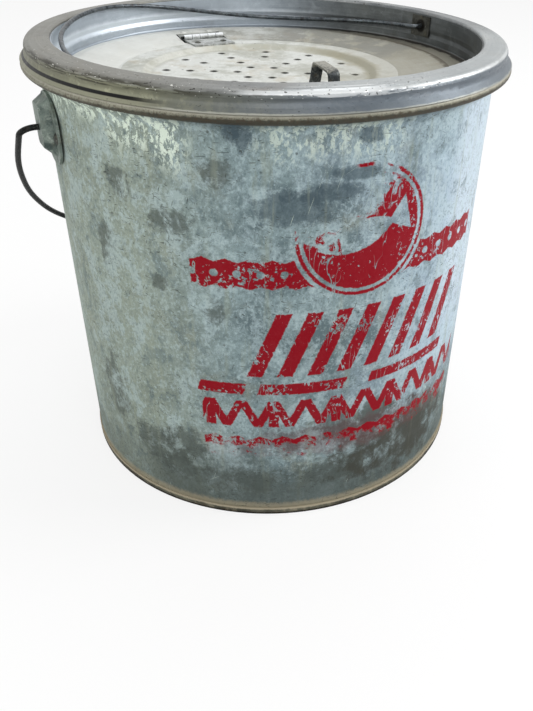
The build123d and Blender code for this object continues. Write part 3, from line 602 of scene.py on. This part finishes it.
collarLook = {
    "base": tint(124, 127, 128),
    "dark": tint(86, 90, 93),
    "pale": tint(164, 165, 162),
    "stain": tint(116, 106, 92),
    "pit": tint(40, 34, 28),
    "small": 5.0,
    "hoops": 1.0,
    "hoopShare": 0.5,
    "pitPitch": 4.5,
    "pitSize": 0.17,
    "rough": 0.44,
    "metallic": 0.55,
    "stainShare": 0.35,
    "paleShare": 0.5,
    "left": tint(126, 122, 108),
    # painted shade on the upright side, and at the right painted light on the top
    "side": tint(84, 94, 104),
    "rightTopLight": tint(192, 197, 198),
    "rightSideShade": tint(92, 101, 110),
    "front": tint(58, 64, 66),
    "leftSide": tint(112, 112, 90),
    "mottle": tint(142, 142, 120),
    "waist": tint(88, 95, 98),
    # painted highlight on the foot, and at the left a painted shadow in the gap above it
    "foot": tint(168, 168, 158),
    "leftFootHighlight": tint(132, 132, 114),
    "gapShadow": tint(4, 4, 3),
    # painted highlight along the shoulder, and pale painted glints among the pits
    "shoulderHighlight": tint(222, 225, 226),
    "under": tint(50, 48, 38),
    "spot": tint(34, 30, 26),
    "glint": tint(220, 220, 214),
}


def collarLayers(f, colour, rough, metallic, relief):
    look, height = collarLook, f.height

    # painted shade on the bluish upright side, painted light on the top at the right, olive at the
    # left
    left = f.near(-165.0, 45.0, 45.0)
    colour = f.blend(colour, look["left"], left * 0.5)
    side = f.fade(height, 234.4, 232.6)
    colour = f.blend(colour, look["side"], side * 0.5)
    right = f.near(-35.0, 35.0, 18.0)
    colour = f.blend(colour, look["rightTopLight"], right * (1 - side) * 0.5)
    colour = f.blend(colour, look["rightSideShade"], right * side * 0.5)
    high = side * f.fade(height + (f.hoops(1.4, 30.0) - 0.5) * 3, 229.6, 231.0)
    colour = f.blend(colour, look["front"], high * f.near(-97.0, 15.0, 14.0) * 0.5)
    colour = f.blend(colour, look["leftSide"], left * side * 0.8)
    mottle = f.fade(f.cloud(5.0, 6.0, 0.7, 51.0), 0.50, 0.60) * f.fade(height, 232.5, 230.0)
    colour = f.blend(colour, look["mottle"], mottle * left * 0.5)
    waist = f.fade(height, 231.0, 227.5)
    colour = f.blend(colour, look["waist"], waist * (1 - left) * 0.25)

    # painted highlight on the foot's edge, and at the left a painted shadow in the gap above it
    uneven = f.sway(1.2, (6.0, 6.0, 3.0), 4.0, 0.6, 5.0)
    gap = f.near(-155.0, 42.0, 10.0)
    foot = f.fade(height + uneven, 226.9, 226.4) * (1 - gap)
    colour = f.blend(colour, look["foot"], foot * (1 - right * 0.5) * 0.8)
    leftFootHighlight = f.fade(height + uneven, 228.0, 227.4) * gap
    colour = f.blend(colour, look["leftFootHighlight"], leftFootHighlight * 0.8)
    gapShadow = f.fade(abs(height - 228.3), 0.8, 0.5)
    colour = f.blend(colour, look["gapShadow"], gapShadow * gap)

    # painted highlight along the shoulder at the front right, broken up by streaky marks; pitted
    # and streaked at the front left, with painted glints
    worn = f.hoops(1.2, 18.0)
    shoulderHighlight = f.fade(abs(height - 234.2), 0.95, 0.4) * f.fade(worn, 0.34, 0.48)
    broad = f.fade(height, 231.2, 232.8) * f.fade(f.radius(), 117.5, 119.0)
    broad = broad * f.fade(worn, 0.46, 0.56)
    shoulderHighlight = f.most(shoulderHighlight * f.near(-76.0, 8.0, 12.0) * 0.9, shoulderHighlight * f.near(-46.0, 30.0, 12.0) * 0.35)
    shoulderHighlight = f.most(shoulderHighlight, broad * f.near(-67.0, 8.0, 9.0) * 0.45)
    colour = f.blend(colour, look["shoulderHighlight"], shoulderHighlight)
    under = f.fade(abs(height - 233.2 + (worn - 0.5) * 4), 1.9, 0.7) * f.near(-128.0, 24.0, 14.0)
    streaks = f.fade(f.hoops(0.6, 12.0), 0.44, 0.54)
    colour = f.blend(colour, look["under"], under * streaks * 0.85)
    shoulder = f.fade(abs(height - 233.8), 2.4, 1.2) * f.near(-96.0, 44.0, 16.0)
    spots = f.dashes((1.5, 1.5, 0.9), 41.0, 0.69) * shoulder
    spots = f.most(spots, f.dashes((1.3, 1.3, 0.8), 43.0, 0.73) * 0.7)
    colour = f.blend(colour, look["spot"], spots * 0.85)
    glints = f.dashes((1.6, 1.6, 0.7), 47.0, 0.71) * shoulder
    colour = f.blend(colour, look["glint"], glints * 0.8)
    rough = rough - shoulderHighlight * 0.12
    return colour, rough, metallic, relief


dress(agedMetal("collarTin", collarLook, collarLayers), "liner_collar")
print("collar finished")

# Well wall, ledge, air chamber and basket: painted light at the left with a painted highlight
# band, painted shadow at the right, brown at the ledge

wellLook = {
    **collarLook, "base": tint(140, 148, 154), "dark": tint(104, 112, 120),
    "pale": tint(186, 194, 200), "stain": tint(112, 104, 92), "broad": 26.0, "small": 7.0,
    "hoops": 1.6, "hoopShare": 0.35, "left": tint(178, 188, 198), "glareBand": tint(212, 220, 228),
    "rightShadow": tint(58, 58, 52), "ledge": tint(46, 38, 26), "dry": tint(146, 143, 130),
    "hole": tint(24, 22, 20),
}

# where the right end of the liner's bail goes through the well wall; the left one lies opposite
bailHole = {"azimuth": 39.5, "height": 228.0, "perDegree": 1.93}


def fromBailHole(f, period):
    # millimetres from the hole's middle, along the wall
    across = f.away(bailHole["azimuth"], period) * bailHole["perDegree"]
    return f.distance(across, f.height - bailHole["height"])


def wellLayers(f, colour, rough, metallic, relief):
    look = wellLook
    high = f.fade(f.height, 214.0, 218.0)
    uneven = f.sway(3.0, 9.0, 5.0, 0.65, 31.0)
    # painted light on the left with a painted highlight band, and painted shadow on the right
    glareBand = f.fade(abs(f.height + uneven - 225.0), 4.0, 1.5) * f.near(150.0, 55.0, 30.0)
    colour = f.blend(colour, look["left"], f.near(155.0, 50.0, 40.0) * high * 0.55)
    colour = f.blend(colour, look["glareBand"], glareBand * 0.75)
    rightShadow = f.near(10.0, 50.0, 45.0) * high
    colour = f.blend(colour, look["rightShadow"], rightShadow * 0.75)
    ledge = f.fade(f.height, 218.3, 217.9) * f.fade(f.height, 216.0, 217.0) * rightShadow
    colour = f.blend(colour, look["ledge"], ledge * 0.8)
    dry = f.fade(f.radius() + f.sway(12.0, 8.0, 5.0, 0.7, 35.0), 107.5, 105.5)
    colour = f.blend(colour, look["dry"], ledge * dry * 0.9)
    ring = f.fade(fromBailHole(f, 360.0), 4.6, 3.0)
    colour = f.blend(colour, look["hole"], ring * 0.85)
    return colour, rough, metallic, relief


wellSheet = agedMetal("wellSheet", wellLook, wellLayers)
dress(
    wellSheet, "liner_well", "liner_ledge", "liner_float_skin", "liner_float_bottom",
    "liner_basket", "liner_basket_base", "liner_chamber_wall",
)

# Deck ring: painted light to the left; tan-brown water stains and painted shadow to the right

deckLook = {
    **collarLook, "base": tint(182, 184, 180), "dark": tint(142, 142, 134),
    "pale": tint(216, 218, 216), "stain": tint(150, 138, 114), "broad": 24.0, "small": 6.0,
    "hoops": 2.2, "hoopShare": 0.25, "rough": 0.52, "metallic": 0.35, "stainShare": 0.5,
    "centreX": -5.5,  # the deck and the lid sit this far off the pail's axis
    "right": tint(150, 146, 130), "left": tint(226, 227, 222), "back": tint(122, 123, 118),
    "rim": tint(66, 56, 40),
}


def deckLayers(f, colour, rough, metallic, relief):
    look = deckLook
    tide = f.x + f.y * 0.25 + f.sway(70.0, 24.0, 5.0, 0.65, 31.0)
    # tan stains with painted shadow to the right, painted light to the left
    colour = f.blend(colour, look["right"], f.fade(tide, 14.0, 52.0) * 0.7)
    colour = f.blend(colour, look["left"], f.fade(tide, -20.0, -54.0) * 0.7)
    back = f.near(62.0, 22.0, 16.0) * f.fade(f.cloud(12.0, 5.0, 0.65, 51.0), 0.36, 0.52)
    colour = f.blend(colour, look["back"], back * 0.65)
    rim = f.fade(f.radius(look["centreX"]) + f.sway(8.0, 6.0, 4.0, 0.6, 41.0), 98.5, 101.0)
    colour = f.blend(colour, look["rim"], rim * f.near(5.0, 50.0, 30.0) * 0.75)
    return colour, rough, metallic, relief


dress(agedMetal("deckSheet", deckLook, deckLayers), "liner_deck", "deck_leaf_rivets")

# Lid: chalky pale floor inside a stained step, with painted shade round its holes

lidLook = {
    **collarLook, "base": tint(208, 210, 206), "dark": tint(172, 173, 164),
    "pale": tint(228, 230, 227), "stain": tint(180, 170, 148), "broad": 22.0, "small": 5.0,
    "hoops": 0.0, "rough": 0.56, "metallic": 0.25, "stainShare": 0.5,
    "centreX": deckLook["centreX"],
    "holeRings": ((1, 6), (2, 6), (3, 12), (4, 12)),  # ring and its number of holes
    "holePitch": 12.75, "holeTurn": 2.52, "holeShade": tint(64, 64, 56), "step": tint(140, 134, 106),
    "stepFaint": tint(160, 158, 142), "right": tint(156, 153, 138),
}


def lidLayers(f, colour, rough, metallic, relief):
    look = lidLook
    radius = f.radius(look["centreX"])
    for ring, count in look["holeRings"]:
        # painted shade round the holes
        ringRadius = ring * look["holePitch"]
        aside = f.away(look["holeTurn"], 360 / count, look["centreX"]) * radians(ringRadius)
        reach = f.distance(radius - ringRadius, aside)
        colour = f.blend(colour, look["holeShade"], f.fade(reach, 2.7, 1.9) * 0.75)
    edge = radius + f.sway(8.0, 9.0, 5.0, 0.65, 31.0)
    step = f.fade(edge, 55.0, 58.5) * f.fade(edge, 66.0, 62.0)
    colour = f.blend(colour, look["step"], step * f.near(-10.0, 65.0, 40.0) * 0.75)
    colour = f.blend(colour, look["stepFaint"], step * 0.35)
    tide = f.fade(f.x + f.sway(60.0, 20.0, 5.0, 0.65, 41.0), 22.0, 60.0)
    colour = f.blend(colour, look["right"], tide * 0.5)
    return colour, rough, metallic, relief


dress(agedMetal("lidSheet", lidLook, lidLayers), "lid_plate")

# Hinge: a painted highlight on its barrel's upper half, the pin's end dark

hingeLook = {
    **rivetLook, "base": tint(192, 195, 194), "dark": tint(134, 136, 132),
    "pale": tint(222, 225, 226), "broad": 8.0, "small": 2.6, "grain": 0.6, "rough": 0.46,
    "metallic": 0.4, "barrel": tint(226, 229, 232),
}


def hingeLayers(f, colour, rough, metallic, relief):
    # painted highlight on the upper half of the barrel
    barrel = f.fade(f.height + f.sway(0.8, 3.0, 3.0, 0.6, 31.0), 217.4, 218.2)
    return f.blend(colour, hingeLook["barrel"], barrel * 0.7), rough, metallic, relief


dress(agedMetal("hingeSteel", hingeLook, hingeLayers), "lid_hinge_leaf", "deck_hinge_leaf")
dress(agedMetal("pinSteel", bailLook), "hinge_pin")

# Finger strap: dark strip, its top edges worn pale

strapLook = {
    **rivetLook, "base": tint(66, 70, 72), "dark": tint(28, 31, 32), "pale": tint(128, 132, 130),
    "stain": tint(96, 84, 66), "broad": 7.0, "small": 2.0, "grain": 0.6, "rough": 0.42,
    "worn": tint(172, 170, 160),
}


def strapLayers(f, colour, rough, metallic, relief):
    worn = f.fade(f.height + f.sway(7.0, 2.0, 4.0, 0.65, 31.0), 227.0, 229.6)
    return f.blend(colour, strapLook["worn"], worn * 0.7), rough, metallic, relief


dress(agedMetal("strapSteel", strapLook, strapLayers), "lid_strap")

# Soldered patches, each with a dark ring round the end of the liner's bail

solderLook = {
    **rivetLook, "base": tint(74, 74, 70), "dark": tint(52, 52, 48), "pale": tint(98, 98, 92),
    "broad": 6.0, "small": 1.8, "grain": 0.6, "rough": 0.44, "ring": tint(20, 18, 16),
}


def solderLayers(f, colour, rough, metallic, relief):
    ring = f.fade(fromBailHole(f, 180.0), 4.4, 3.0)
    return f.blend(colour, solderLook["ring"], ring * 0.9), rough, metallic, relief


solder = agedMetal("solder", solderLook, solderLayers)
dress(solder, "liner_bail_patch_left", "liner_bail_patch_right")
print("liner finished")

# Grip: turned wood, oiled, with dark grime

gripLook = {
    "light": tint(150, 104, 64),
    "dark": tint(92, 58, 34),
    "grime": tint(48, 32, 22),
    "azimuth": 30.5,  # of its length
    "grainLong": 40.0,  # millimetres
    "grainWide": 2.2,
}


def gripWood(look):
    f = Finish("gripWood")
    ahead = radians(look["azimuth"])
    along = f.x * cos(ahead) + f.y * sin(ahead)
    across = f.y * cos(ahead) - f.x * sin(ahead)
    wide = look["grainWide"]
    places = (along / look["grainLong"], across / wide, f.height / wide)
    grain = f.streaks(places, 5.0, 0.8)
    colour = f.blend(look["dark"], look["light"], f.fade(grain, 0.34, 0.66))
    colour = f.blend(colour, look["grime"], f.fade(f.cloud(9.0, 4.0, 0.6, 3.0), 0.55, 0.75) * 0.5)
    return f.finish(colour, 0.42 + (grain - 0.5) * 0.3, 0.0, grain, 0.15)


dress(gripWood(gripLook), "carry_bail_grip")

# Pieces that are made here


def meshPiece(name, bm, material):
    mesh = bpy.data.meshes.new(name)
    bm.to_mesh(mesh)
    bm.free()
    mesh.materials.append(material)
    piece = bpy.data.objects.new(name, mesh)
    bpy.context.scene.collection.objects.link(piece)
    return piece


# Solder run in the corner between the well wall and the ledge

seamLook = {
    "radius": 109.9, "height": 217.75, "size": 1.1, "uneven": 0.35, "waves": 9.0,
    "steps": 180, "sides": 8,
}


def solderSeam(look):
    bm = bmesh.new()
    rings = []
    for step in range(look["steps"]):
        turn = 2 * pi * step / look["steps"]
        place = Vector((cos(turn) * look["waves"], sin(turn) * look["waves"], 0.3))
        reach = look["size"] * (1 + look["uneven"] * noise.noise(place))
        ring = []
        for side in range(look["sides"] + 1):
            around = radians(90 * side / look["sides"])
            radius = (look["radius"] - reach * (1 - cos(around))) * mm
            height = (look["height"] + reach * (1 - sin(around))) * mm
            ring.append(bm.verts.new((cos(turn) * radius, sin(turn) * radius, height)))
        rings.append(ring)
    for first, second in zip(rings, rings[1:] + rings[:1]):
        for a, b, c, d in zip(first, first[1:], second[1:], second):
            bm.faces.new((a, d, c, b)).smooth = True
    seam = meshPiece("solderSeam", bm, wellSheet)
    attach(seam, "liner")


solderSeam(seamLook)
print("small pieces made")

# Floor: pale, and lifted to white where the camera sees it

floorLook = {"size": 6.0, "colour": (0.94, 0.94, 0.94, 1.0), "lift": 0.8}


def makeFloor(look):
    bm = bmesh.new()
    bmesh.ops.create_grid(bm, x_segments=1, y_segments=1, size=look["size"])
    f = Finish("floorPaint")
    f.finish(look["colour"], 0.9, 0.0)
    seen = f.node("ShaderNodeLightPath", out="Is Camera Ray")
    glow = f.node("ShaderNodeEmission", {}, {"Color": (1, 1, 1, 1), "Strength": 1.0})
    paint = Value(f, f.shader.outputs[0])
    mixed = f.node("ShaderNodeMixShader", {}, {0: seen * look["lift"], 1: paint, 2: glow})
    f.tree.links.new(mixed.socket, f.tree.nodes["Material Output"].inputs["Surface"])
    floor = meshPiece("floor", bm, f.material)


makeFloor(floorLook)

# Soft lamps round the object

lampLook = {
    # name: place, aimed at, size, watts, colour
    "keyLamp": ((1.35, 0.15, 0.85), (0.0, 0.0, 0.18), 0.9, 14.0, (1.0, 0.99, 0.98)),
    "frontLamp": ((0.5, -1.6, 1.1), (0.0, 0.0, 0.12), 1.4, 8.0, (0.99, 1.0, 1.0)),
    "fillLamp": ((-1.5, -0.7, 0.7), (0.0, 0.0, 0.10), 1.2, 8.0, (1.0, 1.0, 0.96)),
    "topLamp": ((0.1, 0.7, 1.7), (0.0, 0.0, 0.2), 1.2, 8.0, (0.98, 0.99, 1.0)),
}


def makeLamp(name, place, aim, size, power, colour):
    data = bpy.data.lights.new(name, "AREA")
    data.shape, data.size, data.energy, data.color = "DISK", size, power, colour
    lamp = bpy.data.objects.new(name, data)
    turn = (Vector(place) - Vector(aim)).to_track_quat("Z", "Y").to_matrix().to_4x4()
    lamp.matrix_world = Matrix.Translation(place) @ turn
    bpy.context.scene.collection.objects.link(lamp)


for name, values in lampLook.items():
    makeLamp(name, *values)

# World: soft light all round, and white where the camera, gloss or glass sees it

worldLook = {"ambient": 0.50, "shown": 1.0}


def makeWorld(look):
    world = bpy.data.worlds.new("softWorld")
    bpy.context.scene.world = world
    world.use_nodes = True
    tree = world.node_tree
    tree.nodes.clear()
    path = tree.nodes.new("ShaderNodeLightPath")
    seen = path.outputs["Is Camera Ray"]
    for kind in ("Is Transmission Ray", "Is Glossy Ray"):
        either = tree.nodes.new("ShaderNodeMath")
        either.operation = "MAXIMUM"
        tree.links.new(seen, either.inputs[0])
        tree.links.new(path.outputs[kind], either.inputs[1])
        seen = either.outputs[0]
    level = tree.nodes.new("ShaderNodeMapRange")
    tree.links.new(seen, level.inputs["Value"])
    level.inputs["To Min"].default_value = look["ambient"]
    level.inputs["To Max"].default_value = look["shown"]
    background = tree.nodes.new("ShaderNodeBackground")
    background.inputs["Color"].default_value = (1, 1, 1, 1)
    tree.links.new(level.outputs[0], background.inputs["Strength"])
    output = tree.nodes.new("ShaderNodeOutputWorld")
    tree.links.new(background.outputs[0], output.inputs["Surface"])


makeWorld(worldLook)
print("floor, lamps and world set")
